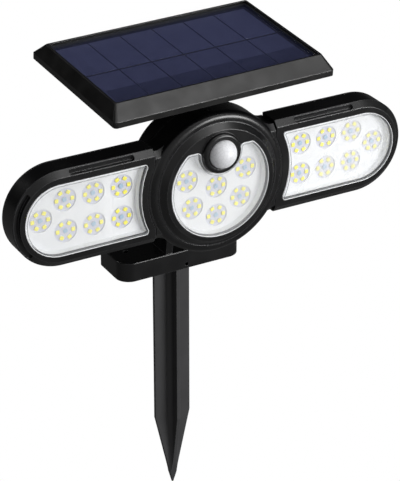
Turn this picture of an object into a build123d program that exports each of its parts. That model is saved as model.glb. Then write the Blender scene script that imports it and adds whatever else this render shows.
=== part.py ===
from build123d import *

import os
from math import acos, atan2, cos, radians, sin, sqrt

os.makedirs("parts", exist_ok=True)

# All lengths are millimetres. The origin is on the stake's axis at the underside of the base,
# +X is the light's right seen from the front, +Y points to the back and +Z is up.

# Clearances
seam = 0.2
pin_gap = 0.05
seat_gap = 0.1
slide_gap = 0.1
hinge_gap = 0.4

# How far a cut runs past the surface that it opens
over = 1.0

# Screws that cut their own thread in plastic
screw_radius = 1.4
screw_head_radius = 2.6
screw_head_height = 1.3
screw_length = 9.0
screw_sink = 1.4
recess_length = 2.8
recess_width = 0.8
recess_depth = 0.8
screw_boss_radius = 2.9

# Base block
base_length = 112.4
base_depth = 42.7
base_height = 17.0
base_wall = 2.5
base_front_radius = 12.0
base_back_radius = 4.5
base_edge_radius = 1.2
base_plate_thick = 2.0
base_rib_x = 27.0
base_rib_thick = 1.6
wall_screw_pitch = 84.0
wall_screw_radius = 2.3
wall_boss_radius = 4.6
base_screw_x = 30.0
base_screw_y = 14.5
pilot_floor = 1.0
weep_x = 3.6
weep_z = 3.8
weep_radius = 1.6

# Stake
rib_width_x = 33.2
rib_width_y = 25.0
rib_thick = 3.0
rib_root_radius = 4.0
stake_straight = 151.7
stake_length = 222.9
stake_tip_half = 0.6
tongue_width_x = 24.0
tongue_width_y = 18.0
tongue_height = 13.5
socket_wall = 2.4
socket_play = 0.4

# Tilt hinge between base and head
tilt_y = -14.0
tilt_z = 34.0
lug_radius = 9.0
lug_half_width = 9.0
lug_front = -50.0
lug_back = -27.0
lug_top = 55.2
lug_lip = 3.5
fork_thick = 6.0
fork_foot_front = 6.4
fork_foot_back = 17.0
fork_root = 0.5
tilt_bolt_radius = 3.0
tilt_hex_across = 10.0
tilt_hex_height = 4.0
tilt_bolt_end = 1.5

# Centre head
head_z = 103.0
drum_radius = 60.0
drum_front = -79.2
shoulder_radius = 5.5
drum_wall = 2.8
front_wall_thick = 4.8
drum_back = -54.2
flange_thick = 2.4
ear_x = 53.5
ear_half_height = 37.6
ear_blend = 12.0
head_screw_ring = 54.5
head_boss_radius = 3.1
seal_groove = 1.0
seal_thick = 0.95
seal_width = 1.2

# Bezel and window of the head
bezel_radius = 52.6
bezel_ridge = 0.4
bezel_slope_top = 47.3
bezel_slope_foot = 52.0
bezel_rim_thick = 2.7
bezel_skirt_radius = 49.3
bezel_skirt_wall = 2.4
bezel_blend = 1.6
bezel_window_rim = 1.3
head_face = -83.9
face_thick = 3.3
face_shelf = 1.0
window_radius = 43.7
horn_height = 32.8
horn_round = 4.0
lens_thick = 2.0
lens_sink = 0.2
lens_ledge = 1.4
lens_edge = 0.4
head_led_plane = -75.5
board_thick = 1.6
head_clusters = [(26.16, 6.8), (-26.16, 6.8), (0, -3.44), (21.61, -17.3), (-21.61, -17.3), (0, -28.56)]

# Motion sensor in its raised collar
collar_z = 28.7
collar_radius = 17.0
collar_rise = 3.6
collar_edge_radius = 2.4
collar_step_radius = 12.9
collar_step_depth = 0.6
dome_radius = 11.5
dome_height = 9.0
dome_proud = 0.5
dome_wall = 0.9
dome_flange_radius = 13.6
dome_flange_thick = 1.0
sensor_radius = 4.6
sensor_height = 4.2
sensor_edge_radius = 0.6
sensor_window_width = 4.6
sensor_window_height = 3.4
sensor_window_depth = 0.4

# Control board and what stands on it
control_board_y = -66.0
control_board_width = 76.0
control_board_height = 46.0
control_board_corner = 4.0
control_hole_inset = 4.0
control_hole_radius = 1.6
header_z = 20.0
header_length = 30.0
header_width = 2.6
chip_height = 1.8
processor_side = 7.0
processor_spot = (-20.0, 8.0)
charger_length = 5.0
charger_width = 4.0
charger_spot = (-4.0, 8.0)
choke_side = 6.6
choke_spot = (8.0, -10.0)
capacitor_radius = 3.2
capacitor_height = 5.6
capacitor_spots = [(22.0, 6.0), (-18.0, -11.0)]

# Rear housing of the head
rear_radius = 50.0
rear_back = -24.2
rear_wall = 2.4
rear_edge_radius = 5.0
post_root = 0.6

# Battery cells and their cradle
cell_radius = 9.2
cell_length = 65.2
cell_gap = 0.8
cell_y = -40.8
cell_tip_radius = 2.8
cell_tip_height = 0.9
cradle_thick = 1.6
cradle_play = 1.6
cradle_floor_gap = 0.3
cradle_end_rise = 12.9
cradle_side_rise = 5.5
cradle_tab_width = 8.0
cradle_tab_reach = 4.0
cradle_post_x = 24.0
cradle_post_z = 26.0
cradle_post_radius = 3.0

# Mode button and its switch
button_z = 28.0
button_radius = 5.0
button_gap = 0.3
button_rise = 1.6
button_travel = 1.2
button_edge_radius = 0.8
button_flange_radius = 6.6
button_flange_thick = 1.0
button_stem_radius = 1.6
button_stem_length = 1.2
switch_width = 6.0
switch_height = 3.4
switch_gap = 0.2
switch_board_height = 12.0
switch_board_margin = 2.0
switch_post_x = 9.2
switch_post_radius = 1.7

# Side heads
wing_end_x = 133.2
wing_radius = 40.1
wing_inner_x = 54.2
wing_hollow_radius = 60.5
wing_front = -77.2
wing_back = -53.9
bevel_inset = 5.0
bevel_depth = 4.0
wing_wall = 2.4
wing_cover_thick = 2.5
wing_cover_edge = 0.8
wing_cover_border = 7.0
wing_cover_sink = 0.6
wing_cavity_front = -71.5
wing_seal_inset = 1.25
wing_window_half = 30.4
wing_window_end_x = 134.5
wing_window_inner_radius = 66.0
wing_window_corner = 3.0
wing_lens_proud = 0.6
wing_lens_depth = 1.7
wing_ledge_thick = 1.0
wing_led_plane = -69.8
wing_clusters = [(x, z) for x in (80.3, 104.3, 128.3) for z in (13.2, -13.2)] + [(148.95, 0)]
slot_floor = -73.6
slot_width = 3.8
slot_inset = 2.8
slot_start_x = 71.0
slot_end_x = 126.0
slot_half_angle = 42.0
wing_boss_inset = 5.0
wing_boss_x = 70.0
wing_boss_angle = 60.0
wing_boss_step = 0.4

# Vertical hinges of the side heads
hinge_x = 57.0
hinge_y = -49.0
barrel_radius = 4.4
wing_knuckle_half = 13.6
wing_arm_x = 72.0
wing_arm_root_x = 61.5
wing_arm_thick = 4.4
head_knuckle_start = 14.0
head_knuckle_end = 30.0
head_arm_x = 46.5
head_web_x = 53.0
hinge_pin_radius = 1.5
hinge_pin_head = 2.6
hinge_pin_cap = 1.2
hinge_pin_end = 0.6

# LED clusters
cluster_radius = 9.7
led_ring_radius = 6.6
led_length = 3.5
led_width = 2.8
led_height = 0.7
centre_chip_radius = 1.6
reflector_floor = 0.8
reflector_slope = 1.2

# Solar panel
panel_y = -24.4
panel_z = 196.5
panel_tilt = 4.52
panel_turn = 2.25
rim_half_x = 92.63
rim_half_y = 56.04
flare_x = 5.93
flare_front = 10.22
flare_back = 11.05
flare_depth = 10.32
panel_depth = 15.21
flange_corner = 3.0
rim_corner = 1.5
inner_corner = 2.0
rim_wall = 1.5
glass_drop = 2.0
glass_thick = 2.4
gasket_width = 1.4
sheet_thick = 0.5
cell_thick = 0.4
panel_shelf = 2.0
panel_wall = 2.2
panel_cavity_x = 1.2
panel_cavity_y = 1.8
panel_cover_thick = 2.0
panel_boss_radius = 3.3
panel_pilot_floor = 0.6
panel_screw_inset_x = 4.6
panel_screw_inset_y = 2.0
cell_columns = 6
cell_rows = 2
cell_pitch_gap = 1.2
cell_row_gap = 2.6
cell_margin = 3.2

# Swivel and tilt of the panel
swivel_y = -39.2
boss_radius = 13.0
boss_foot = 150.8
boss_top = 158.0
boss_pad_foot = 147.2
boss_pad_radius = 7.0
knuckle_foot = 3.2
knuckle_radius = 12.5
panel_hinge_z = 170.0
tongue_half = 5.0
tongue_radius = 6.6
panel_ear_gap = 0.3
panel_ear_radius = 7.0
panel_ear_thick = 4.0
panel_ear_spread = 7.0
panel_bolt_radius = 2.5
panel_bolt_head = 4.4
panel_bolt_cap = 3.0
panel_bolt_end = 5.0
panel_bolt_socket = 2.0
panel_bolt_socket_depth = 1.6
panel_nut_half = 4.0
panel_nut_thick = 4.0
swivel_screw_radius = 2.0
swivel_screw_head = 4.0
swivel_screw_cap = 2.4
swivel_screw_floor = 1.2
swivel_screw_end = 2.0


def save(piece, label):
    piece.part.label = label
    export_step(piece.part, "parts/" + label + ".step")


# A plane facing the front, its local x and y along X and Z, centred on the head's axis.
def facing(y):
    return Plane(origin=(0, y, head_z), x_dir=(1, 0, 0), z_dir=(0, -1, 0))


# One screw with a cross recess, its head's top at the origin and its shank along -Z.
def screw_shape():
    with BuildPart(Plane.XY, mode=Mode.PRIVATE) as screw:
        with BuildSketch(Plane.XY.offset(-screw_head_height)):
            Circle(screw_head_radius)
        extrude(amount=screw_head_height)
        with BuildSketch(Plane.XY):
            Rectangle(recess_length, recess_width)
            Rectangle(recess_width, recess_length)
        extrude(amount=-recess_depth, mode=Mode.SUBTRACT)
        with BuildSketch(Plane.XY.offset(-screw_head_height)):
            Circle(screw_radius)
        extrude(amount=-(screw_length - screw_head_height))
    return screw.part


# Where a line from an outside point touches a circle, on the side that way gives.
def touch_point(centre, radius, point, way):
    across = point[0] - centre[0]
    along = point[1] - centre[1]
    swing = atan2(along, across) + way * acos(radius / sqrt(across**2 + along**2))
    return (centre[0] + radius * cos(swing), centre[1] + radius * sin(swing))


# ---- Stake ----

def cross_outline(width_x, width_y, thick, root):
    Rectangle(width_x, thick)
    Rectangle(thick, width_y)
    if root:
        inner = [v for v in vertices() if abs(v.X) < thick and abs(v.Y) < thick]
        fillet(inner, root)


with BuildPart() as ground_stake:
    with BuildSketch(Plane.XY):
        cross_outline(rib_width_x, rib_width_y, rib_thick, rib_root_radius)
    extrude(amount=-stake_length)
    # The ribs run to a point below the straight length.
    for outline_plane, width in ((Plane.XZ, rib_width_x), (Plane.YZ, rib_width_y)):
        for way in (-1, 1):
            with BuildSketch(outline_plane):
                with BuildLine():
                    Polyline(
                        (way * stake_tip_half, -stake_length),
                        (way * width / 2, -stake_straight),
                        (way * (width / 2 + over), -stake_straight),
                        (way * (width / 2 + over), -stake_length - over),
                        (way * stake_tip_half, -stake_length - over),
                        close=True,
                    )
                make_face()
            extrude(amount=width, both=True, mode=Mode.SUBTRACT)
    with BuildSketch(Plane.XY):
        cross_outline(tongue_width_x, tongue_width_y, rib_thick, 0)
    extrude(amount=tongue_height)
save(ground_stake, "ground_stake")


# ---- Base ----

def base_outline(inset):
    Rectangle(base_length - 2 * inset, base_depth - 2 * inset)
    fillet([v for v in vertices() if v.Y < 0], base_front_radius - inset)
    back_corners = [v for v in vertices() if v.Y > base_depth / 4 and abs(v.X) > base_length / 4]
    fillet(back_corners, base_back_radius - inset)


fork_inner = lug_half_width + hinge_gap
fork_outer = fork_inner + fork_thick
socket_half_x = tongue_width_x / 2 + slide_gap + socket_wall
socket_half_y = tongue_width_y / 2 + slide_gap + socket_wall
shell_top = base_height - base_wall
tilt_centre = (tilt_y, tilt_z)
fork_front = (tilt_y - fork_foot_front, base_height - fork_root)
fork_back = (tilt_y + fork_foot_back, base_height - fork_root)
wall_screw_spots = [(-wall_screw_pitch / 2, 0), (wall_screw_pitch / 2, 0)]
base_screw_spots = [(x * base_screw_x, y * base_screw_y) for x in (-1, 1) for y in (-1, 1)]

with BuildPart() as base_housing:
    with BuildSketch(Plane.XY):
        base_outline(0)
    extrude(amount=base_height)
    top_edges = base_housing.faces().sort_by(Axis.Z)[-1].edges()
    fillet(top_edges, base_edge_radius)
    with BuildSketch(Plane.XY):
        base_outline(base_wall)
    extrude(amount=shell_top, mode=Mode.SUBTRACT)
    # Socket block, wall screw tubes, cover screw posts and ribs stand inside the shell.
    with BuildSketch(Plane.XY):
        Rectangle(2 * socket_half_x, 2 * socket_half_y)
        with Locations(*wall_screw_spots):
            Circle(wall_boss_radius)
    extrude(amount=shell_top)
    with BuildSketch(Plane.XY.offset(base_plate_thick)):
        with Locations(*base_screw_spots):
            Circle(screw_boss_radius)
        with Locations((-base_rib_x, 0), (base_rib_x, 0)):
            Rectangle(base_rib_thick, base_depth - base_wall)
    extrude(amount=shell_top - base_plate_thick)
    # Fork for the head.
    for way in (-1, 1):
        with BuildSketch(Plane.YZ.offset(way * fork_inner)):
            with Locations(tilt_centre):
                Circle(lug_radius)
            with BuildLine():
                Polyline(
                    touch_point(tilt_centre, lug_radius, fork_front, -1),
                    fork_front,
                    fork_back,
                    touch_point(tilt_centre, lug_radius, fork_back, 1),
                    close=True,
                )
            make_face()
        extrude(amount=way * fork_thick)
    with BuildSketch(Plane.YZ):
        with Locations(tilt_centre):
            Circle(tilt_bolt_radius + pin_gap)
    extrude(amount=base_length, both=True, mode=Mode.SUBTRACT)
    # Openings: stake socket, wall screws, cover screws and the weep hole in front.
    with BuildSketch(Plane.XY):
        play = 2 * slide_gap
        cross_outline(tongue_width_x + play, tongue_width_y + play, rib_thick + play, 0)
    extrude(amount=tongue_height + socket_play, mode=Mode.SUBTRACT)
    with BuildSketch(Plane.XY):
        with Locations(*wall_screw_spots):
            Circle(wall_screw_radius)
    extrude(amount=base_height, mode=Mode.SUBTRACT)
    with BuildSketch(Plane.XY):
        with Locations(*base_screw_spots):
            Circle(screw_radius + pin_gap)
    extrude(amount=shell_top - pilot_floor, mode=Mode.SUBTRACT)
    with BuildSketch(Plane.XZ):
        with Locations((weep_x, weep_z)):
            Circle(weep_radius)
    extrude(amount=base_depth / 2 + over, mode=Mode.SUBTRACT)
save(base_housing, "base_housing")

with BuildPart() as base_plate:
    with BuildSketch(Plane.XY):
        base_outline(base_wall + seam)
    extrude(amount=base_plate_thick)
    with BuildSketch(Plane.XY):
        Rectangle(2 * (socket_half_x + seam), 2 * (socket_half_y + seam))
        with Locations(*wall_screw_spots):
            Circle(wall_boss_radius + seam)
        with Locations(*base_screw_spots):
            Circle(screw_radius + seam)
    extrude(amount=base_plate_thick, mode=Mode.SUBTRACT)
    with BuildSketch(Plane.XY):
        with Locations(*base_screw_spots):
            Circle(screw_head_radius + seam)
    extrude(amount=screw_sink, mode=Mode.SUBTRACT)
save(base_plate, "base_plate")

with BuildPart() as base_screws:
    for x, y in base_screw_spots:
        place = Plane(origin=(x, y, screw_sink - screw_head_height), x_dir=(1, 0, 0), z_dir=(0, 0, -1))
        add(place * screw_shape())
save(base_screws, "base_screws")

with BuildPart() as tilt_bolt:
    with BuildSketch(Plane.YZ.offset(fork_outer + seat_gap)):
        with Locations(tilt_centre):
            RegularPolygon(tilt_hex_across / 2, 6, major_radius=False)
    extrude(amount=tilt_hex_height)
    with BuildSketch(Plane.YZ.offset(fork_outer + seat_gap)):
        with Locations(tilt_centre):
            Circle(tilt_bolt_radius)
    extrude(amount=-(2 * fork_outer + seat_gap + tilt_hex_height + tilt_bolt_end))
save(tilt_bolt, "tilt_bolt")

with BuildPart() as tilt_nut:
    with BuildSketch(Plane.YZ.offset(-fork_outer - seat_gap)):
        with Locations(tilt_centre):
            RegularPolygon(tilt_hex_across / 2, 6, major_radius=False)
            Circle(tilt_bolt_radius + pin_gap, mode=Mode.SUBTRACT)
    extrude(amount=-tilt_hex_height)
save(tilt_nut, "tilt_nut")


# ---- Centre head ----

# A round drum with an ear to each side, where the side heads start.
def head_outline():
    Circle(drum_radius)
    Rectangle(2 * ear_x, 2 * ear_half_height)
    joints = [v for v in vertices() if abs(v.Y) > ear_half_height - pin_gap and abs(v.X) < ear_x - pin_gap]
    fillet(joints, ear_blend)


# The window is a disc with a bay for the sensor's collar and two rounded horns beside it.
def crescent(grow):
    top = horn_height + grow
    Circle(window_radius + grow)
    with Locations((0, collar_z)):
        Circle(collar_radius - grow, mode=Mode.SUBTRACT)
    with Locations((0, collar_z + collar_radius)):
        Rectangle(2 * (collar_radius - grow), 2 * collar_radius, mode=Mode.SUBTRACT)
    with Locations((0, top + collar_radius)):
        Rectangle(4 * window_radius, 2 * collar_radius, mode=Mode.SUBTRACT)
    tips = [v for v in vertices() if abs(v.Y - top) < pin_gap]
    fillet(tips, horn_round + grow)


# Rings turned around the head's axis are drawn as radius and depth.
def turned_outline(points, rounded=None, radius=0):
    Polygon(*points, align=None)
    if rounded:
        fillet([v for v in vertices() if (Vector(v.X, v.Y) - Vector(*rounded)).length < pin_gap], radius)


head_axis_plane = Plane(origin=(0, 0, head_z), x_dir=(1, 0, 0), z_dir=(0, 0, 1))
head_axis = Axis((0, 0, head_z), (0, 1, 0))
casing_back = drum_back - flange_thick
casing_inner = drum_radius - drum_wall
front_wall_back = drum_front + front_wall_thick
bezel_back = drum_front + bezel_rim_thick - bezel_ridge
bezel_seat = bezel_back - seat_gap + seam
bevel_foot = wing_front + bevel_depth
bevel_overrun = 0.25
blend_z = ear_half_height + ear_blend
blend_x = sqrt((drum_radius + ear_blend) ** 2 - blend_z**2)
head_screw_spots = [
    (head_screw_ring * cos(radians(a)), head_screw_ring * sin(radians(a))) for a in (45, 135, 225, 315)
]

with BuildPart() as head_front_housing:
    with BuildSketch(facing(casing_back)):
        head_outline()
    extrude(amount=casing_back - bevel_foot)
    with BuildSketch(facing(bevel_foot)):
        head_outline()
        # Only the ears and their blends rise above the drum's shoulder.
        for end in (-1, 1):
            Polygon(
                (blend_x / 2, end * blend_z / 2),
                (blend_x * 2, end * blend_z * 2),
                (-blend_x * 2, end * blend_z * 2),
                (-blend_x / 2, end * blend_z / 2),
                align=None,
                mode=Mode.SUBTRACT,
            )
    extrude(amount=bevel_depth)
    # The ears carry on the bevel of the side heads over their ends and round the blends to the drum.
    bevel_tip = wing_front - bevel_overrun * bevel_depth
    bevel_tip_height = ear_half_height - (1 + bevel_overrun) * bevel_inset
    for way in (-1, 1):
        with BuildSketch(Plane.YZ.offset(way * blend_x)):
            for end in (-1, 1):
                Polygon(
                    (bevel_foot, head_z + end * ear_half_height),
                    (bevel_tip, head_z + end * bevel_tip_height),
                    (bevel_tip, head_z + end * (ear_half_height + over)),
                    (bevel_foot, head_z + end * (ear_half_height + over)),
                    align=None,
                )
        extrude(amount=way * (ear_x - blend_x + over), mode=Mode.SUBTRACT)
    blend_spots = [(x, z) for x in (-blend_x, blend_x) for z in (-blend_z, blend_z)]
    blend_centres = [facing(bevel_foot) * Pos(x, z, 0) for x, z in blend_spots]
    with Locations(*blend_centres):
        Cone(
            ear_blend,
            ear_blend + (1 + bevel_overrun) * bevel_inset,
            (1 + bevel_overrun) * bevel_depth,
            align=(Align.CENTER, Align.CENTER, Align.MIN),
            mode=Mode.SUBTRACT,
        )
    with BuildSketch(head_axis_plane):
        turned_outline(
            [(0, casing_back), (drum_radius, casing_back), (drum_radius, drum_front), (0, drum_front)],
            (drum_radius, drum_front),
            shoulder_radius,
        )
    revolve(axis=head_axis)
    with BuildSketch(head_axis_plane):
        turned_outline(
            [
                (0, casing_back + over),
                (casing_inner, casing_back + over),
                (casing_inner, front_wall_back),
                (bezel_skirt_radius + seam, front_wall_back),
                (bezel_skirt_radius + seam, bezel_seat),
                (bezel_radius + seam, bezel_seat),
                (bezel_radius + seam, drum_front - over),
                (0, drum_front - over),
            ]
        )
    revolve(axis=head_axis, mode=Mode.SUBTRACT)
    with BuildSketch(facing(casing_back)):
        with Locations(*head_screw_spots):
            Circle(head_boss_radius)
    extrude(amount=casing_back - front_wall_back)
    with BuildSketch(facing(casing_back)):
        Circle(casing_inner + seal_width + seat_gap)
        Circle(casing_inner - seat_gap, mode=Mode.SUBTRACT)
    extrude(amount=seal_groove, mode=Mode.SUBTRACT)
    with BuildSketch(facing(casing_back)):
        with Locations(*head_screw_spots):
            Circle(screw_radius + pin_gap)
    extrude(amount=screw_length, mode=Mode.SUBTRACT)
save(head_front_housing, "head_front_housing")

with BuildPart() as head_seal:
    with BuildSketch(facing(casing_back)):
        Circle(casing_inner + seal_width)
        Circle(casing_inner, mode=Mode.SUBTRACT)
    extrude(amount=seal_thick)
save(head_seal, "head_seal")

head_board_back = head_led_plane + board_thick
face_back = head_face + face_thick
collar_top = head_face - collar_rise

with BuildPart() as head_bezel:
    with BuildSketch(head_axis_plane):
        turned_outline(
            [
                (0, head_face),
                (bezel_slope_top, head_face),
                (bezel_slope_foot, drum_front - bezel_ridge),
                (bezel_radius, drum_front - bezel_ridge),
                (bezel_radius, bezel_back),
                (bezel_skirt_radius, bezel_back),
                (bezel_skirt_radius, head_board_back),
                (bezel_skirt_radius - bezel_skirt_wall, head_board_back),
                (bezel_skirt_radius - bezel_skirt_wall, face_back + bezel_blend),
                (window_radius + bezel_window_rim, face_back),
                (0, face_back),
            ]
        )
    revolve(axis=head_axis)
    with BuildSketch(facing(head_face)):
        crescent(0)
    extrude(amount=face_shelf - face_thick, mode=Mode.SUBTRACT)
    with BuildSketch(facing(head_face)):
        crescent(-lens_ledge)
    extrude(amount=-face_thick, mode=Mode.SUBTRACT)
    # Collar around the sensor, raised above the window and stepped down to the dome.
    with BuildSketch(facing(head_face)):
        with Locations((0, collar_z)):
            Circle(collar_radius - seam)
    extrude(amount=collar_rise)
    collar_edge = head_bezel.faces().sort_by(Axis.Y)[0].edges()
    fillet(collar_edge, collar_edge_radius)
    with BuildSketch(facing(collar_top)):
        with Locations((0, collar_z)):
            Circle(collar_step_radius)
    extrude(amount=-collar_step_depth, mode=Mode.SUBTRACT)
    with BuildSketch(facing(collar_top)):
        with Locations((0, collar_z)):
            Circle(dome_radius + seam)
    extrude(amount=-(collar_rise + face_thick), mode=Mode.SUBTRACT)
save(head_bezel, "head_bezel")

with BuildPart() as head_lens_cover:
    with BuildSketch(facing(head_face + lens_sink)):
        crescent(-seam)
    extrude(amount=-lens_thick)
save(head_lens_cover, "head_lens_cover")


# A tray has a round opening for every cluster.
def reflector_openings(clusters):
    with Locations(*clusters):
        Circle(cluster_radius)


head_tray_back = head_led_plane - seat_gap

with BuildPart() as head_reflector:
    with BuildSketch(facing(head_tray_back)):
        crescent(seam + seat_gap)
    extrude(amount=head_tray_back - face_back)
    with BuildSketch(facing(face_back)):
        crescent(-lens_ledge)
    with BuildSketch(facing(head_tray_back - reflector_floor)):
        crescent(-lens_ledge - reflector_slope)
    loft(mode=Mode.SUBTRACT)
    with BuildSketch(facing(head_led_plane)):
        reflector_openings(head_clusters)
    extrude(amount=head_led_plane - face_back, mode=Mode.SUBTRACT)
save(head_reflector, "head_reflector")

with BuildPart() as head_led_board:
    with BuildSketch(facing(head_led_plane)):
        Circle(bezel_skirt_radius - bezel_skirt_wall - seam)
    extrude(amount=-board_thick)
save(head_led_board, "head_led_board")


# Six chips in a ring and one small centre chip for every cluster.
def chip_sketch(clusters):
    for x, z in clusters:
        with Locations((x, z)):
            with PolarLocations(led_ring_radius, 6):
                Rectangle(led_width, led_length)
            Circle(centre_chip_radius)


with BuildPart() as head_leds:
    with BuildSketch(facing(head_led_plane)):
        chip_sketch(head_clusters)
    extrude(amount=led_height)
save(head_leds, "head_leds")

dome_base = collar_top - dome_proud
dome_tip = dome_base - dome_height
dome_sphere = (dome_radius**2 + dome_height**2) / (2 * dome_height)
dome_centre = dome_tip + dome_sphere
dome_inner_sphere = dome_sphere - dome_wall
dome_inner_radius = sqrt(dome_inner_sphere**2 - (dome_base - dome_centre) ** 2)
dome_flange_front = face_back + pin_gap
dome_flange_back = face_back + dome_flange_thick
dome_middle = radians(45)
dome_plane = Plane(origin=(0, 0, head_z + collar_z), x_dir=(1, 0, 0), z_dir=(0, 0, 1))
dome_axis = Axis((0, 0, head_z + collar_z), (0, 1, 0))

with BuildPart() as pir_dome:
    with BuildSketch(dome_plane):
        with BuildLine():
            Line((0, dome_tip), (0, dome_tip + dome_wall))
            ThreePointArc(
                (0, dome_tip + dome_wall),
                (dome_inner_sphere * sin(dome_middle), dome_centre - dome_inner_sphere * cos(dome_middle)),
                (dome_inner_radius, dome_base),
            )
            Polyline(
                (dome_inner_radius, dome_base),
                (dome_inner_radius, dome_flange_back),
                (dome_flange_radius, dome_flange_back),
                (dome_flange_radius, dome_flange_front),
                (dome_radius, dome_flange_front),
                (dome_radius, dome_base),
            )
            ThreePointArc(
                (dome_radius, dome_base),
                (dome_sphere * sin(dome_middle), dome_centre - dome_sphere * cos(dome_middle)),
                (0, dome_tip),
            )
        make_face()
    revolve(axis=dome_axis)
save(pir_dome, "pir_dome")

with BuildPart() as pir_sensor:
    with BuildSketch(facing(head_led_plane)):
        with Locations((0, collar_z)):
            Circle(sensor_radius)
    extrude(amount=sensor_height)
    can_edge = pir_sensor.faces().sort_by(Axis.Y)[0].edges()
    fillet(can_edge, sensor_edge_radius)
    with BuildSketch(facing(head_led_plane - sensor_height)):
        with Locations((0, collar_z)):
            Rectangle(sensor_window_width, sensor_window_height)
    extrude(amount=-sensor_window_depth, mode=Mode.SUBTRACT)
save(pir_sensor, "pir_sensor")

control_hole_x = control_board_width / 2 - control_hole_inset
control_hole_z = control_board_height / 2 - control_hole_inset

with BuildPart() as control_board:
    with BuildSketch(facing(control_board_y)):
        RectangleRounded(control_board_width, control_board_height, control_board_corner)
        with Locations(*[(x * control_hole_x, z * control_hole_z) for x in (-1, 1) for z in (-1, 1)]):
            Circle(control_hole_radius, mode=Mode.SUBTRACT)
    extrude(amount=-board_thick)
save(control_board, "control_board")

with BuildPart() as board_components:
    # Two pin headers join this board to the LED board in front of it.
    with BuildSketch(facing(control_board_y)):
        with Locations((0, -header_z), (0, header_z)):
            Rectangle(header_length, header_width)
    extrude(amount=control_board_y - head_board_back)
    with BuildSketch(facing(control_board_y)):
        with Locations(processor_spot):
            Rectangle(processor_side, processor_side)
        with Locations(charger_spot):
            Rectangle(charger_length, charger_width)
        with Locations(choke_spot):
            Rectangle(choke_side, choke_side)
    extrude(amount=chip_height)
    with BuildSketch(facing(control_board_y)):
        with Locations(*capacitor_spots):
            Circle(capacitor_radius)
    extrude(amount=capacitor_height)
save(board_components, "board_components")

button_back = rear_back - rear_wall
button_seat = button_back - seat_gap
stem_end = button_seat - button_flange_thick - button_stem_length
switch_face = stem_end - switch_gap - button_travel
switch_board_face = switch_face - switch_height
cradle_floor = cell_y - cell_radius - cradle_floor_gap
cradle_post_spots = [(x * cradle_post_x, z * cradle_post_z) for x in (-1, 1) for z in (-1, 1)]
switch_board_z = button_z + over
lug_front_foot = (lug_front, lug_top - lug_lip)
lug_back_top = (lug_back, lug_top)

with BuildPart() as head_rear_housing:
    with BuildSketch(facing(drum_back)):
        head_outline()
    extrude(amount=flange_thick)
    with BuildSketch(head_axis_plane):
        turned_outline(
            [(0, casing_back), (rear_radius, casing_back), (rear_radius, rear_back), (0, rear_back)],
            (rear_radius, rear_back),
            rear_edge_radius,
        )
    revolve(axis=head_axis)
    with BuildSketch(head_axis_plane):
        turned_outline(
            [
                (0, casing_back),
                (rear_radius - rear_wall, casing_back),
                (rear_radius - rear_wall, button_back),
                (0, button_back),
            ],
            (rear_radius - rear_wall, button_back),
            rear_edge_radius - rear_wall,
        )
    revolve(axis=head_axis, mode=Mode.SUBTRACT)
    # Posts inside the back wall for the battery cradle and the switch board.
    with BuildSketch(facing(button_back + post_root)):
        with Locations(*cradle_post_spots):
            Circle(cradle_post_radius)
    extrude(amount=button_back + post_root - cradle_floor)
    with BuildSketch(facing(button_back + post_root)):
        with Locations((-switch_post_x, switch_board_z), (switch_post_x, switch_board_z)):
            Circle(switch_post_radius)
    extrude(amount=button_back + post_root - switch_board_face)
    # Lug that sits in the fork of the base.
    with BuildSketch(Plane.YZ):
        with Locations(tilt_centre):
            Circle(lug_radius)
        with BuildLine():
            Polyline(
                touch_point(tilt_centre, lug_radius, lug_front_foot, 1),
                lug_front_foot,
                (lug_front, lug_top),
                lug_back_top,
                touch_point(tilt_centre, lug_radius, lug_back_top, -1),
                close=True,
            )
        make_face()
    extrude(amount=lug_half_width, both=True)
    with BuildSketch(Plane.YZ):
        with Locations(tilt_centre):
            Circle(tilt_bolt_radius + pin_gap)
    extrude(amount=lug_half_width + over, both=True, mode=Mode.SUBTRACT)
    # Boss for the panel swivel, with a pad inside for the screw head.
    with BuildSketch(Plane.XY.offset(boss_foot)):
        with Locations((0, swivel_y)):
            Circle(boss_radius)
    extrude(amount=boss_top - boss_foot)
    with BuildSketch(Plane.XY.offset(boss_pad_foot)):
        with Locations((0, swivel_y)):
            Circle(boss_pad_radius)
    extrude(amount=boss_top - boss_pad_foot - over)
    with BuildSketch(Plane.XY.offset(boss_pad_foot)):
        with Locations((0, swivel_y)):
            Circle(swivel_screw_radius + pin_gap)
    extrude(amount=boss_top - boss_pad_foot, mode=Mode.SUBTRACT)
    # Knuckles for the side heads above and below the middle of each side.
    for way in (-1, 1):
        for start in (head_knuckle_start, -head_knuckle_end):
            with BuildSketch(Plane.XY.offset(head_z + start)):
                with Locations((way * hinge_x, hinge_y)):
                    Circle(barrel_radius)
                with Locations((way * (head_arm_x + hinge_x) / 2, hinge_y)):
                    Rectangle(hinge_x - head_arm_x, 2 * barrel_radius)
                with Locations((way * (head_arm_x + head_web_x) / 2, (hinge_y + drum_back) / 2)):
                    Rectangle(head_web_x - head_arm_x, hinge_y - drum_back)
            extrude(amount=head_knuckle_end - head_knuckle_start)
    with BuildSketch(Plane.XY.offset(head_z - head_knuckle_end - over)):
        with Locations((-hinge_x, hinge_y), (hinge_x, hinge_y)):
            Circle(hinge_pin_radius + pin_gap)
    extrude(amount=2 * (head_knuckle_end + over), mode=Mode.SUBTRACT)
    # Casing screws and the mode button's hole.
    with BuildSketch(facing(drum_back)):
        with Locations(*head_screw_spots):
            Circle(screw_radius + seam)
    extrude(amount=flange_thick, mode=Mode.SUBTRACT)
    with BuildSketch(facing(drum_back)):
        with Locations(*head_screw_spots):
            Circle(screw_head_radius + seam)
    extrude(amount=screw_sink, mode=Mode.SUBTRACT)
    with BuildSketch(facing(rear_back)):
        with Locations((0, button_z)):
            Circle(button_radius + button_gap)
    extrude(amount=rear_wall, mode=Mode.SUBTRACT)
save(head_rear_housing, "head_rear_housing")

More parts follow.
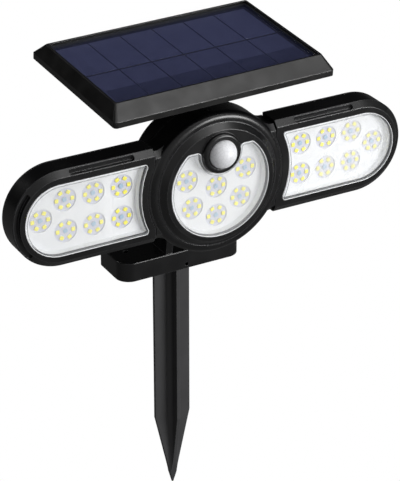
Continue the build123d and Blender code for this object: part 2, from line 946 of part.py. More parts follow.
with BuildPart() as head_screws:
    for x, z in head_screw_spots:
        seat = (x, drum_back - screw_sink + screw_head_height, head_z + z)
        add(Plane(origin=seat, x_dir=(1, 0, 0), z_dir=(0, 1, 0)) * screw_shape())
save(head_screws, "head_screws")

with BuildPart() as mode_button:
    with BuildSketch(facing(rear_back + button_rise)):
        with Locations((0, button_z)):
            Circle(button_radius)
    extrude(amount=rear_back + button_rise - button_seat)
    crown = mode_button.faces().sort_by(Axis.Y)[-1].edges()
    fillet(crown, button_edge_radius)
    with BuildSketch(facing(button_seat)):
        with Locations((0, button_z)):
            Circle(button_flange_radius)
    extrude(amount=button_flange_thick)
    with BuildSketch(facing(button_seat - button_flange_thick)):
        with Locations((0, button_z)):
            Circle(button_stem_radius)
    extrude(amount=button_stem_length)
save(mode_button, "mode_button")

with BuildPart() as mode_switch:
    with BuildSketch(facing(switch_face)):
        with Locations((0, button_z)):
            Rectangle(switch_width, switch_width)
    extrude(amount=switch_height)
    with BuildSketch(facing(switch_board_face)):
        with Locations((0, switch_board_z)):
            Rectangle(2 * (switch_post_x + switch_board_margin), switch_board_height)
    extrude(amount=board_thick)
save(mode_switch, "mode_switch")

cell_z = cell_radius + cell_gap / 2
cell_spots = [(cell_y, head_z + way * cell_z) for way in (-1, 1)]

with BuildPart() as battery_cells:
    with BuildSketch(Plane.YZ.offset(-cell_length / 2)):
        with Locations(*cell_spots):
            Circle(cell_radius)
    extrude(amount=cell_length)
    with BuildSketch(Plane.YZ.offset(cell_length / 2)):
        with Locations(*cell_spots):
            Circle(cell_tip_radius)
    extrude(amount=cell_tip_height)
save(battery_cells, "battery_cells")

cradle_end_x = cell_length / 2 + cradle_play + cradle_thick / 2
cradle_side_z = 2 * cell_z + cradle_thick / 2

with BuildPart() as battery_cradle:
    with BuildSketch(facing(cradle_floor)):
        Rectangle(2 * cradle_end_x + cradle_thick, 2 * cradle_side_z)
        with Locations((-cradle_post_x, 0), (cradle_post_x, 0)):
            Rectangle(cradle_tab_width, 2 * (cradle_post_z + cradle_tab_reach))
    extrude(amount=cradle_thick)
    with BuildSketch(facing(cradle_floor)):
        with Locations((-cradle_end_x, 0), (cradle_end_x, 0)):
            Rectangle(cradle_thick, 4 * cell_z - cell_radius)
    extrude(amount=-cradle_end_rise)
    with BuildSketch(facing(cradle_floor)):
        with Locations((0, -cradle_side_z + cradle_thick / 4), (0, cradle_side_z - cradle_thick / 4)):
            Rectangle(2 * cradle_post_x, cradle_thick / 2)
    extrude(amount=-cradle_side_rise)
save(battery_cradle, "battery_cradle")


# ---- Side heads ----

# The outline grows by its own amount on the side towards the head.
def wing_outline(grow, inner_grow):
    start = wing_inner_x - inner_grow
    with Locations((wing_end_x, 0)):
        Circle(wing_radius + grow)
    with Locations(((start + wing_end_x) / 2, 0)):
        Rectangle(wing_end_x - start, 2 * (wing_radius + grow))
    Circle(wing_hollow_radius - inner_grow, mode=Mode.SUBTRACT)


def wing_window(grow):
    half = wing_window_half + grow
    with Locations((wing_window_end_x, 0)):
        Circle(half)
    with Locations((wing_window_end_x / 2, 0)):
        Rectangle(wing_window_end_x, 2 * half)
    Circle(wing_window_inner_radius - grow, mode=Mode.SUBTRACT)
    inner = [v for v in vertices() if v.X < wing_window_inner_radius and abs(v.Y) > half / 2]
    fillet(inner, wing_window_corner + max(grow, -wing_window_corner + over))


wing_seam = wing_back - wing_cover_thick
lens_seat = wing_front + wing_lens_depth
ledge_back = lens_seat + wing_ledge_thick
wing_tray_back = wing_led_plane - seat_gap
wing_boss_ring = wing_radius - wing_boss_inset
wing_outer_boss_x = wing_end_x + wing_boss_ring * cos(radians(wing_boss_angle))
wing_outer_boss_z = wing_boss_ring * sin(radians(wing_boss_angle))
wing_upper_spots = [(wing_boss_x, wing_boss_ring), (wing_outer_boss_x, wing_outer_boss_z)]
wing_screw_spots = [(x, way * z) for way in (-1, 1) for x, z in wing_upper_spots]
hinge_line = (hinge_x, hinge_y)


# The left side head is the right one's mirror image.
def finish_side(side):
    if side == "left":
        mirror(about=Plane.YZ, mode=Mode.REPLACE)


def make_wing(side):
    with BuildPart() as housing:
        with BuildSketch(facing(wing_seam)):
            wing_outline(0, 0)
        extrude(amount=wing_seam - bevel_foot)
        # The bevel runs round the outside and stops flush at the side towards the head.
        with BuildSketch(facing(bevel_foot)):
            wing_outline(0, 0)
        with BuildSketch(facing(wing_front)):
            wing_outline(-bevel_inset, 0)
        loft(ruled=True)
        with BuildSketch(facing(wing_seam)):
            wing_outline(-wing_wall, -wing_wall)
        extrude(amount=wing_seam - wing_cavity_front, mode=Mode.SUBTRACT)
        with BuildSketch(facing(wing_cavity_front)):
            wing_window(seam + seat_gap + seam)
        extrude(amount=wing_cavity_front - ledge_back, mode=Mode.SUBTRACT)
        with BuildSketch(facing(wing_front)):
            wing_window(0)
        extrude(amount=-wing_lens_depth, mode=Mode.SUBTRACT)
        with BuildSketch(facing(wing_front)):
            wing_window(-lens_ledge)
        extrude(amount=wing_front - wing_cavity_front, mode=Mode.SUBTRACT)
        with BuildSketch(facing(wing_seam)):
            wing_outline(seat_gap / 2 - wing_seal_inset, seat_gap / 2 - wing_seal_inset)
        extrude(amount=seal_groove, mode=Mode.SUBTRACT)
        with BuildSketch(facing(wing_seam - seal_groove)):
            with Locations(*wing_screw_spots):
                Circle(screw_boss_radius)
        extrude(amount=wing_seam - seal_groove - wing_cavity_front)
        with BuildSketch(facing(wing_seam)):
            with Locations(*wing_screw_spots):
                Circle(screw_boss_radius - wing_boss_step)
        extrude(amount=seal_groove)
        with BuildSketch(facing(wing_seam)):
            with Locations(*wing_screw_spots):
                Circle(screw_radius + pin_gap)
        extrude(amount=screw_length, mode=Mode.SUBTRACT)
        # Shallow slots sunk in the bevel, one along the top and one round the outer end.
        with BuildSketch(facing(wing_front - over)):
            with Locations(((slot_start_x + slot_end_x) / 2, wing_radius - slot_inset)):
                SlotOverall(slot_end_x - slot_start_x, slot_width)
            bend = Edge.make_circle(
                wing_radius - slot_inset, Plane((wing_end_x, 0)), -slot_half_angle, slot_half_angle
            )
            SlotArc(bend, slot_width)
        extrude(amount=wing_front - over - slot_floor, mode=Mode.SUBTRACT)
        finish_side(side)
    save(housing, side + "_wing_housing")

    with BuildPart() as cover:
        with BuildSketch(facing(wing_back)):
            wing_outline(0, 0)
        extrude(amount=wing_cover_thick)
        back_face = cover.faces().sort_by(Axis.Y)[-1]
        chamfer(back_face.outer_wire().edges(), wing_cover_edge)
        with BuildSketch(facing(wing_back)):
            wing_outline(-wing_cover_border, -wing_cover_border)
        extrude(amount=wing_cover_sink, mode=Mode.SUBTRACT)
        # Hinge knuckle between the two knuckles of the head.
        arm_front = hinge_y - barrel_radius
        root_back = wing_back - wing_cover_sink
        with BuildSketch(Plane.XY.offset(head_z - wing_knuckle_half)):
            with Locations(hinge_line):
                Circle(barrel_radius)
            with Locations(((hinge_x + wing_arm_x) / 2, arm_front + wing_arm_thick / 2)):
                Rectangle(wing_arm_x - hinge_x, wing_arm_thick)
            with Locations(((wing_arm_root_x + wing_arm_x) / 2, (arm_front + root_back) / 2)):
                Rectangle(wing_arm_x - wing_arm_root_x, arm_front + wing_arm_thick / 2 - root_back)
        extrude(amount=2 * wing_knuckle_half)
        with BuildSketch(Plane.XY.offset(head_z - wing_knuckle_half)):
            with Locations(hinge_line):
                Circle(hinge_pin_radius + pin_gap)
        extrude(amount=2 * wing_knuckle_half, mode=Mode.SUBTRACT)
        with BuildSketch(facing(wing_back)):
            with Locations(*wing_screw_spots):
                Circle(screw_radius + seam)
        extrude(amount=wing_cover_thick, mode=Mode.SUBTRACT)
        with BuildSketch(facing(wing_back)):
            with Locations(*wing_screw_spots):
                Circle(screw_head_radius + seam)
        extrude(amount=screw_sink, mode=Mode.SUBTRACT)
        finish_side(side)
    save(cover, side + "_wing_back_cover")

    with BuildPart() as seal:
        with BuildSketch(facing(wing_seam)):
            wing_outline(-wing_seal_inset, -wing_seal_inset)
        extrude(amount=seal_thick)
        with BuildSketch(facing(wing_seam)):
            wing_outline(pin_gap - wing_wall, pin_gap - wing_wall)
        extrude(amount=seal_thick, mode=Mode.SUBTRACT)
        finish_side(side)
    save(seal, side + "_wing_seal")

    with BuildPart() as lens:
        with BuildSketch(facing(lens_seat)):
            wing_window(-seam)
        extrude(amount=wing_lens_depth + wing_lens_proud)
        front_face = lens.faces().sort_by(Axis.Y)[0]
        chamfer(front_face.outer_wire().edges(), lens_edge)
        finish_side(side)
    save(lens, side + "_wing_lens_cover")

    with BuildPart() as reflector:
        with BuildSketch(facing(wing_tray_back)):
            wing_window(seam + seat_gap)
        extrude(amount=wing_tray_back - ledge_back)
        with BuildSketch(facing(ledge_back)):
            wing_window(-lens_ledge)
        with BuildSketch(facing(wing_tray_back - reflector_floor)):
            wing_window(-lens_ledge - reflector_slope)
        loft(mode=Mode.SUBTRACT)
        with BuildSketch(facing(wing_led_plane)):
            reflector_openings(wing_clusters)
        extrude(amount=wing_led_plane - ledge_back, mode=Mode.SUBTRACT)
        finish_side(side)
    save(reflector, side + "_wing_reflector")

    with BuildPart() as board:
        with BuildSketch(facing(wing_led_plane)):
            wing_window(seam + seat_gap)
        extrude(amount=-board_thick)
        finish_side(side)
    save(board, side + "_wing_led_board")

    with BuildPart() as leds:
        with BuildSketch(facing(wing_led_plane)):
            chip_sketch(wing_clusters)
        extrude(amount=led_height)
        finish_side(side)
    save(leds, side + "_wing_leds")

    with BuildPart() as screws:
        for x, z in wing_screw_spots:
            seat = (x, wing_back - screw_sink + screw_head_height, head_z + z)
            add(Plane(origin=seat, x_dir=(1, 0, 0), z_dir=(0, 1, 0)) * screw_shape())
        finish_side(side)
    save(screws, side + "_wing_screws")

    with BuildPart() as pin:
        with BuildSketch(Plane.XY.offset(head_z - head_knuckle_end - hinge_pin_end)):
            with Locations(hinge_line):
                Circle(hinge_pin_radius)
        extrude(amount=2 * head_knuckle_end + hinge_pin_end)
        with BuildSketch(Plane.XY.offset(head_z + head_knuckle_end)):
            with Locations(hinge_line):
                Circle(hinge_pin_head)
        extrude(amount=hinge_pin_cap)
        finish_side(side)
    save(pin, side + "_hinge_pin")


for wing_side in ("left", "right"):
    make_wing(wing_side)


# ---- Solar panel and its swivel ----

turn = radians(panel_turn)
tilt = radians(panel_tilt)
panel_right = (cos(turn), sin(turn), 0)
panel_up = (sin(turn) * sin(tilt), -cos(turn) * sin(tilt), cos(tilt))
panel_rear = (-sin(turn) * cos(tilt), cos(turn) * cos(tilt), sin(tilt))
hinge_point = (0, swivel_y, panel_hinge_z)


# A plane of the tilted panel at a depth under the rim, its local x and y across the panel.
def panel_plane(depth):
    centre = Vector(0, panel_y, panel_z) - Vector(*panel_up) * depth
    return Plane(origin=centre, x_dir=panel_right, z_dir=panel_up)


# A plane across the panel's tilt axis, its local x to the panel's rear and y up from it.
def panel_hinge_plane(along):
    centre = Vector(*hinge_point) + Vector(*panel_right) * along
    return Plane(origin=centre, x_dir=panel_rear, z_dir=panel_right)


def panel_rectangle(half_x, front, back, corner):
    with Locations((0, (back - front) / 2)):
        RectangleRounded(2 * half_x, front + back, corner)


flange_half_x = rim_half_x + flare_x
flange_front = rim_half_y + flare_front
flange_back = rim_half_y + flare_back
tray_half_x = rim_half_x - rim_wall
tray_half_y = rim_half_y - rim_wall
tray_depth = glass_drop + glass_thick + cell_thick + sheet_thick + seat_gap
cavity_half_x = rim_half_x + panel_cavity_x
cavity_half_y = rim_half_y + panel_cavity_y
panel_screw_x = rim_half_x - panel_screw_inset_x
panel_screw_y = rim_half_y - panel_screw_inset_y
panel_screw_spots = [(x * panel_screw_x, y * panel_screw_y) for x in (-1, 0, 1) for y in (-1, 1)]
cover_face = panel_depth - panel_cover_thick

with BuildPart() as panel_housing:
    with BuildSketch(panel_plane(flare_depth)):
        panel_rectangle(flange_half_x, flange_front, flange_back, flange_corner)
    with BuildSketch(panel_plane(0)):
        panel_rectangle(rim_half_x, rim_half_y, rim_half_y, rim_corner)
    loft()
    with BuildSketch(panel_plane(panel_depth)):
        panel_rectangle(flange_half_x, flange_front, flange_back, flange_corner)
    extrude(amount=panel_depth - flare_depth)
    # Tray for the glass in front, hollow with screw posts behind.
    with BuildSketch(panel_plane(0)):
        panel_rectangle(tray_half_x, tray_half_y, tray_half_y, rim_corner - pin_gap)
    extrude(amount=-tray_depth, mode=Mode.SUBTRACT)
    with BuildSketch(panel_plane(panel_depth)):
        panel_rectangle(cavity_half_x, cavity_half_y, cavity_half_y, inner_corner)
    extrude(amount=panel_depth - tray_depth - panel_shelf, mode=Mode.SUBTRACT)
    with BuildSketch(panel_plane(panel_depth)):
        panel_rectangle(
            flange_half_x - panel_wall, flange_front - panel_wall, flange_back - panel_wall, inner_corner
        )
    extrude(amount=panel_cover_thick, mode=Mode.SUBTRACT)
    with BuildSketch(panel_plane(cover_face)):
        with Locations(*panel_screw_spots):
            Circle(panel_boss_radius)
    extrude(amount=cover_face - tray_depth - panel_shelf)
    with BuildSketch(panel_plane(cover_face)):
        with Locations(*panel_screw_spots):
            Circle(screw_radius + pin_gap)
    extrude(amount=cover_face - tray_depth - panel_pilot_floor, mode=Mode.SUBTRACT)
save(panel_housing, "panel_housing")

pane_x = tray_half_x - gasket_width
pane_y = tray_half_y - gasket_width

with BuildPart() as panel_gasket:
    with BuildSketch(panel_plane(glass_drop)):
        RectangleRounded(2 * (tray_half_x - pin_gap), 2 * (tray_half_y - pin_gap), rim_corner)
        Rectangle(2 * (pane_x + pin_gap), 2 * (pane_y + pin_gap), mode=Mode.SUBTRACT)
    extrude(amount=-glass_thick)
save(panel_gasket, "panel_gasket")

with BuildPart() as panel_glass:
    with BuildSketch(panel_plane(glass_drop)):
        Rectangle(2 * pane_x, 2 * pane_y)
    extrude(amount=-glass_thick)
save(panel_glass, "panel_glass")

cell_width = (2 * (pane_x - cell_margin) - (cell_columns - 1) * cell_pitch_gap) / cell_columns
cell_height = (2 * (pane_y - cell_margin) - (cell_rows - 1) * cell_row_gap) / cell_rows

with BuildPart() as panel_cells:
    with BuildSketch(panel_plane(glass_drop + glass_thick)):
        with GridLocations(cell_width + cell_pitch_gap, cell_height + cell_row_gap, cell_columns, cell_rows):
            Rectangle(cell_width, cell_height)
    extrude(amount=-cell_thick)
save(panel_cells, "panel_cells")

with BuildPart() as panel_backsheet:
    with BuildSketch(panel_plane(glass_drop + glass_thick + cell_thick)):
        RectangleRounded(2 * (tray_half_x - seam), 2 * (tray_half_y - seam), rim_corner)
    extrude(amount=-sheet_thick)
save(panel_backsheet, "panel_backsheet")

ear_inner = tongue_half + panel_ear_gap
ear_outer = ear_inner + panel_ear_thick
ear_foot = panel_ear_radius + panel_ear_spread
hinge_drop = Vector(0, panel_y, panel_z) - Vector(*hinge_point)
cover_height = hinge_drop.dot(Vector(*panel_up)) - panel_depth
ear_root = cover_height + post_root

with BuildPart() as panel_back_cover:
    with BuildSketch(panel_plane(panel_depth)):
        panel_rectangle(
            flange_half_x - panel_wall - seam,
            flange_front - panel_wall - seam,
            flange_back - panel_wall - seam,
            inner_corner,
        )
    extrude(amount=panel_cover_thick)
    for way in (-1, 1):
        with BuildSketch(panel_hinge_plane(way * ear_inner)):
            Circle(panel_ear_radius)
            with BuildLine():
                Polyline(
                    (-panel_ear_radius, 0),
                    (panel_ear_radius, 0),
                    (ear_foot, ear_root),
                    (-ear_foot, ear_root),
                    close=True,
                )
            make_face()
        extrude(amount=way * panel_ear_thick)
    with BuildSketch(panel_hinge_plane(0)):
        Circle(panel_bolt_radius + pin_gap)
    extrude(amount=ear_outer + over, both=True, mode=Mode.SUBTRACT)
    with BuildSketch(panel_plane(panel_depth)):
        with Locations(*panel_screw_spots):
            Circle(screw_radius + seam)
    extrude(amount=panel_cover_thick, mode=Mode.SUBTRACT)
    with BuildSketch(panel_plane(panel_depth)):
        with Locations(*panel_screw_spots):
            Circle(screw_head_radius + seam)
    extrude(amount=screw_sink, mode=Mode.SUBTRACT)
save(panel_back_cover, "panel_back_cover")

panel_down = -Vector(*panel_up)

with BuildPart() as panel_screws:
    for x, y in panel_screw_spots:
        seat = panel_plane(panel_depth - screw_sink + screw_head_height).from_local_coords(Vector(x, y, 0))
        add(Plane(origin=seat, x_dir=panel_right, z_dir=panel_down) * screw_shape())
save(panel_screws, "panel_screws")

swivel_plane = Plane(origin=(0, swivel_y, 0), x_dir=panel_right, z_dir=(0, 0, 1))
tongue_plane = Plane(origin=hinge_point, x_dir=(-sin(turn), cos(turn), 0), z_dir=panel_right)
tongue_drop = panel_hinge_z - boss_top - over

with BuildPart() as panel_knuckle:
    with BuildSketch(swivel_plane.offset(boss_top + seat_gap)):
        Circle(knuckle_radius)
    extrude(amount=knuckle_foot)
    with BuildSketch(tongue_plane):
        Circle(tongue_radius)
        with Locations((0, -tongue_drop / 2)):
            Rectangle(2 * tongue_radius, tongue_drop)
    extrude(amount=tongue_half, both=True)
    with BuildSketch(tongue_plane):
        Circle(panel_bolt_radius + pin_gap)
    extrude(amount=tongue_half + over, both=True, mode=Mode.SUBTRACT)
    with BuildSketch(swivel_plane.offset(boss_top)):
        Circle(swivel_screw_radius + pin_gap)
    extrude(amount=panel_hinge_z - boss_top - panel_bolt_radius - swivel_screw_floor, mode=Mode.SUBTRACT)
save(panel_knuckle, "panel_knuckle")

with BuildPart() as swivel_screw:
    with BuildSketch(Plane.XY.offset(boss_pad_foot)):
        with Locations((0, swivel_y)):
            Circle(swivel_screw_head)
    extrude(amount=-swivel_screw_cap)
    with BuildSketch(Plane.XY.offset(boss_pad_foot)):
        with Locations((0, swivel_y)):
            Circle(swivel_screw_radius)
    extrude(amount=panel_hinge_z - panel_bolt_radius - swivel_screw_end - boss_pad_foot)
save(swivel_screw, "swivel_screw")

with BuildPart() as panel_bolt:
    with BuildSketch(panel_hinge_plane(ear_outer + seat_gap)):
        Circle(panel_bolt_head)
    extrude(amount=panel_bolt_cap)
    with BuildSketch(panel_hinge_plane(ear_outer + seat_gap + panel_bolt_cap)):
        RegularPolygon(panel_bolt_socket, 6, major_radius=False)
    extrude(amount=-panel_bolt_socket_depth, mode=Mode.SUBTRACT)
    with BuildSketch(panel_hinge_plane(ear_outer + seat_gap)):
        Circle(panel_bolt_radius)
    extrude(amount=-(2 * ear_outer + seat_gap + panel_bolt_end))
save(panel_bolt, "panel_bolt")

with BuildPart() as panel_nut:
    with BuildSketch(panel_hinge_plane(-ear_outer - seat_gap)):
        RegularPolygon(panel_nut_half, 6, major_radius=False)
        Circle(panel_bolt_radius + pin_gap, mode=Mode.SUBTRACT)
    extrude(amount=-panel_nut_thick)
save(panel_nut, "panel_nut")
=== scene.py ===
import math

import bmesh
import bpy
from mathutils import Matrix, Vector


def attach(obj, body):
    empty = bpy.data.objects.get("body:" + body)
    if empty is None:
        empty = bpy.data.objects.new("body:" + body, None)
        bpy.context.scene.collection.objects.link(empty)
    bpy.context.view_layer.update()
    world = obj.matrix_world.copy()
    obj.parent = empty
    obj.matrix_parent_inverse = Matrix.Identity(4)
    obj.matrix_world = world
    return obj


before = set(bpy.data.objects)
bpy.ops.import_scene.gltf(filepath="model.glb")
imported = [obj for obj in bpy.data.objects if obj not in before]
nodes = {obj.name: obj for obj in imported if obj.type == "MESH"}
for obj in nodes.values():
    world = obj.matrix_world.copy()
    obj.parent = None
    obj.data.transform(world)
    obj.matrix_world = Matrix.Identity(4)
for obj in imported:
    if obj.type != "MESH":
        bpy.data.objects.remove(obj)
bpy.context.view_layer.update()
scene = bpy.context.scene
print("frame loaded with", len(nodes), "nodes")

mm = 0.001
headZ = 103.0  # height of the head's axis in millimetres, which every window is laid out from


def linearColour(hexText):
    # sRGB hex to the linear values that the sockets take
    digits = hexText.lstrip("#")
    channels = [int(digits[i:i + 2], 16) / 255 for i in (0, 2, 4)]
    bent = [c / 12.92 if c <= 0.04045 else ((c + 0.055) / 1.055) ** 2.4 for c in channels]
    return (*bent, 1.0)


def addNode(tree, kind, settings=None, links=None):
    # a node with its settings and links; a number names an input by its place
    node = tree.nodes.new(kind)
    for name, value in (settings or {}).items():
        if isinstance(name, int) or name in node.inputs:
            node.inputs[name].default_value = value
        else:
            setattr(node, name, value)
    for name, source in (links or {}).items():
        tree.links.new(source, node.inputs[name])
    return node


def startMaterial(name):
    material = bpy.data.materials.new(name)
    material.use_nodes = True
    tree = material.node_tree
    tree.nodes.clear()
    shader = addNode(tree, "ShaderNodeBsdfPrincipled")
    addNode(tree, "ShaderNodeOutputMaterial", links={"Surface": shader.outputs["BSDF"]})
    place = addNode(tree, "ShaderNodeTexCoord").outputs["Object"]
    return material, tree, shader, place


def blendColours(tree, factor, first, second):
    # two hex colours or colour outputs, mixed by a factor
    node = addNode(tree, "ShaderNodeMix", {"data_type": "RGBA"}, {0: factor})
    for slot, colour in ((6, first), (7, second)):
        if isinstance(colour, str):
            node.inputs[slot].default_value = linearColour(colour)
        else:
            tree.links.new(colour, node.inputs[slot])
    return node.outputs[2]


def dress(material, *names):
    for name in names:
        for slot in nodes[name].material_slots:
            slot.material = material


def meshPiece(name, build, material, body):
    # build fills a bmesh in metres, in the frame of the whole light
    shape = bmesh.new()
    build(shape)
    bmesh.ops.recalc_face_normals(shape, faces=shape.faces)
    data = bpy.data.meshes.new(name)
    shape.to_mesh(data)
    shape.free()
    for face in data.polygons:
        face.use_smooth = True
    data.materials.append(material)
    piece = bpy.data.objects.new(name, data)
    scene.collection.objects.link(piece)
    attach(piece, body)


# most of a noise texture's values lie between these two
noiseLow, noiseHigh = 0.3, 0.7
# cosines between the rounded and the plain normal, where the painted edge highlight begins to show and
# where it is full
edgeStart, edgeFull = 0.99, 0.88


def mouldedPlastic(name, look):
    # grain from the mould's eroded steel, with slow patches where the melt cooled unevenly
    material, tree, shader, place = startMaterial(name)
    grain = addNode(
        tree, "ShaderNodeTexNoise", {"Scale": 1 / (look["grainMm"] * mm), "Detail": 3.0}, {"Vector": place}
    )
    patches = addNode(
        tree, "ShaderNodeTexNoise", {"Scale": 1 / (look["patchMm"] * mm), "Detail": 2.0}, {"Vector": place}
    )
    spread = look["glossSpread"]
    gloss = addNode(
        tree, "ShaderNodeMapRange",
        {"From Min": noiseLow, "From Max": noiseHigh,
         "To Min": look["roughness"] - spread, "To Max": look["roughness"] + spread},
        {"Value": patches.outputs["Fac"]},
    )
    softEdge = addNode(tree, "ShaderNodeBevel", {"samples": 4, "Radius": look["edgeMm"] * mm})
    bump = addNode(
        tree, "ShaderNodeBump", {"Strength": look["grainStrength"], "Distance": look["grainDepthMm"] * mm},
        {"Height": grain.outputs["Fac"], "Normal": softEdge.outputs["Normal"]},
    )
    tint = blendColours(tree, patches.outputs["Fac"], look["colour"], look["patchColour"])
    # a painted highlight: a paler line along sharp edges, which shows the steps of black plastic against
    # black
    if "edgeHighlight" in look:
        surface = addNode(tree, "ShaderNodeNewGeometry", {})
        agree = addNode(
            tree, "ShaderNodeVectorMath", {"operation": "DOT_PRODUCT"},
            {0: softEdge.outputs["Normal"], 1: surface.outputs["Normal"]},
        )
        paintedEdgeHighlight = addNode(
            tree, "ShaderNodeMapRange",
            {"From Min": edgeStart, "From Max": edgeFull, "To Max": look["edgeHighlight"]},
            {"Value": agree.outputs["Value"]},
        )
        tint = blendColours(tree, paintedEdgeHighlight.outputs["Result"], tint, look["edgeHighlightColour"])
    tree.links.new(tint, shader.inputs["Base Color"])
    tree.links.new(gloss.outputs["Result"], shader.inputs["Roughness"])
    tree.links.new(bump.outputs["Normal"], shader.inputs["Normal"])
    shader.inputs["IOR"].default_value = look["ior"]
    return material


# moulded ABS casing: deep black and satin, bright where an edge or a curve turns to the light, and with a
# painted highlight line along its sharp edges
casingLook = {
    "colour": "#060607", "patchColour": "#080809", "grainMm": 0.5, "grainDepthMm": 0.025,
    "grainStrength": 0.3, "patchMm": 22, "roughness": 0.27, "glossSpread": 0.04, "edgeMm": 0.7, "ior": 1.5,
    # the painted highlight along sharp edges: its colour and its strength
    "edgeHighlightColour": "#4a4a4c", "edgeHighlight": 0.8,
}
# the panel's frame is the same plastic from a finer mould, with faint flow marks that mottle its slopes
panelFrameLook = dict(
    casingLook, colour="#090909", patchColour="#0e0d0c", roughness=0.34, grainDepthMm=0.02, patchMm=14,
    glossSpread=0.06,
)
# the stake is a cheaper, greyer grade with a dull skin
stakeLook = dict(casingLook, colour="#303031", patchColour="#373738", roughness=0.48, grainMm=0.8)
# moulded white ABS tray, polished so that it throws the light forward
reflectorLook = {
    "colour": "#f7f8fa", "patchColour": "#f1f3f6", "grainMm": 0.6, "grainDepthMm": 0.01,
    "grainStrength": 0.1, "patchMm": 30, "roughness": 0.28, "glossSpread": 0.05, "edgeMm": 0.2, "ior": 1.53,
}
# silicone rubber for the seals and the button, dull and slightly grey
siliconeLook = {
    "colour": "#1c1d1f", "patchColour": "#242527", "grainMm": 0.4, "grainDepthMm": 0.02,
    "grainStrength": 0.4, "patchMm": 9, "roughness": 0.6, "glossSpread": 0.06, "edgeMm": 0.3, "ior": 1.41,
}

casingAbs = mouldedPlastic("mouldedBlackAbs", casingLook)
panelFrameAbs = mouldedPlastic("mouldedPanelFrameAbs", panelFrameLook)
stakeAbs = mouldedPlastic("mouldedStakeAbs", stakeLook)
reflectorAbs = mouldedPlastic("mouldedWhiteAbs", reflectorLook)
siliconeRubber = mouldedPlastic("mouldedSilicone", siliconeLook)


def clearPlastic(name, look):
    # clear sheet with a fine frost, drawn as a share of the sheet that is solid white: what lies behind it
    # turns paler, most at the rims. A cover given an edge along X is clearer on one side of it, so that the
    # white veil on the other side is partly frost and partly a painted reflection.
    material, tree, shader, place = startMaterial(name)
    ripple = addNode(tree, "ShaderNodeTexNoise", {"Scale": 1 / (look["rippleMm"] * mm)}, {"Vector": place})
    bump = addNode(
        tree, "ShaderNodeBump",
        {"Strength": look["rippleStrength"], "Distance": look["rippleDepthMm"] * mm},
        {"Height": ripple.outputs["Fac"]},
    )
    rim = addNode(tree, "ShaderNodeLayerWeight", {"Blend": look["rimBlend"]})
    haze = addNode(
        tree, "ShaderNodeMapRange", {"To Min": look["frost"], "To Max": look["edgeFrost"]},
        {"Value": rim.outputs["Fresnel"]},
    )
    # painted reflection: the white veil fades along X, clearer on one side of the given edge
    if "paintedReflectionEdgeMm" in look:
        along = addNode(tree, "ShaderNodeSeparateXYZ", links={"Vector": place})
        clearEnd, frostEnd = look["paintedReflectionEdgeMm"]
        frost = addNode(
            tree, "ShaderNodeMapRange",
            {"interpolation_type": "SMOOTHSTEP", "From Min": clearEnd * mm, "From Max": frostEnd * mm,
             "To Min": look["clearest"], "To Max": look["frost"]},
            {"Value": along.outputs["X"]},
        )
        tree.links.new(frost.outputs["Result"], haze.inputs["To Min"])
    shader.inputs["Base Color"].default_value = linearColour(look["colour"])
    shader.inputs["Roughness"].default_value = look["roughness"]
    shader.inputs["IOR"].default_value = look["ior"]
    tree.links.new(haze.outputs["Result"], shader.inputs["Alpha"])
    tree.links.new(bump.outputs["Normal"], shader.inputs["Normal"])
    return material


# frosted polycarbonate: the clusters show through it paler than they are
clearCoverLook = {
    "colour": "#fafbfc", "rippleMm": 14, "rippleDepthMm": 0.03, "rippleStrength": 0.1, "rimBlend": 0.35,
    "frost": 0.12, "edgeFrost": 0.5, "roughness": 0.12, "ior": 1.58,
}
# the left cover is clear beside its hinge, where its two inner clusters show their full colour; the white
# veil over its outer part is partly frost and partly a painted reflection
leftCoverPaintedReflectionLook = dict(clearCoverLook, paintedReflectionEdgeMm=(-88, -95), clearest=0.02)
# the right cover stands in full light, so it has less frost, or its clusters would fade away
rightCoverLook = dict(clearCoverLook, frost=0.05, edgeFrost=0.35)
# tempered sheet over the cells, with a blue grey cast
panelGlassLook = {
    "colour": "#3a3f5e", "rippleMm": 20, "rippleDepthMm": 0.02, "rippleStrength": 0.1, "rimBlend": 0.3,
    "frost": 0.05, "edgeFrost": 0.4, "roughness": 0.06, "ior": 1.52,
}
clearPolycarbonate = clearPlastic("frostedPolycarbonate", clearCoverLook)
leftPolycarbonate = clearPlastic("frostAndPaintedReflectionPolycarbonate", leftCoverPaintedReflectionLook)
rightPolycarbonate = clearPlastic("lightlyFrostedPolycarbonate", rightCoverLook)
temperedGlass = clearPlastic("temperedGlass", panelGlassLook)


def platedSteel(name, look):
    # zinc or black oxide on turned steel, with fine turning marks
    material, tree, shader, place = startMaterial(name)
    marks = addNode(
        tree, "ShaderNodeTexNoise", {"Scale": 1 / (look["markMm"] * mm), "Detail": 4.0}, {"Vector": place}
    )
    gloss = addNode(
        tree, "ShaderNodeMapRange",
        {"To Min": look["roughness"] - look["glossGain"], "To Max": look["roughness"] + look["glossLoss"]},
        {"Value": marks.outputs["Fac"]},
    )
    bump = addNode(
        tree, "ShaderNodeBump", {"Strength": look["markStrength"], "Distance": look["markDepthMm"] * mm},
        {"Height": marks.outputs["Fac"]},
    )
    tint = blendColours(tree, marks.outputs["Fac"], look["colour"], look["wornColour"])
    shader.inputs["Metallic"].default_value = 1.0
    tree.links.new(tint, shader.inputs["Base Color"])
    tree.links.new(gloss.outputs["Result"], shader.inputs["Roughness"])
    tree.links.new(bump.outputs["Normal"], shader.inputs["Normal"])
    return material


# zinc plated steel, bright and slightly cloudy; black oxide steel, a dull grey that never turns white
zincLook = {
    "colour": "#b9bbbd", "wornColour": "#8f9193", "markMm": 0.5, "markStrength": 0.2, "markDepthMm": 0.01,
    "roughness": 0.35, "glossGain": 0.08, "glossLoss": 0.1,
}
oxideLook = dict(zincLook, colour="#3a3a3c", wornColour="#2a2a2b", roughness=0.42)
zincSteel = platedSteel("zincPlatedSteel", zincLook)
blackSteel = platedSteel("blackOxideSteel", oxideLook)


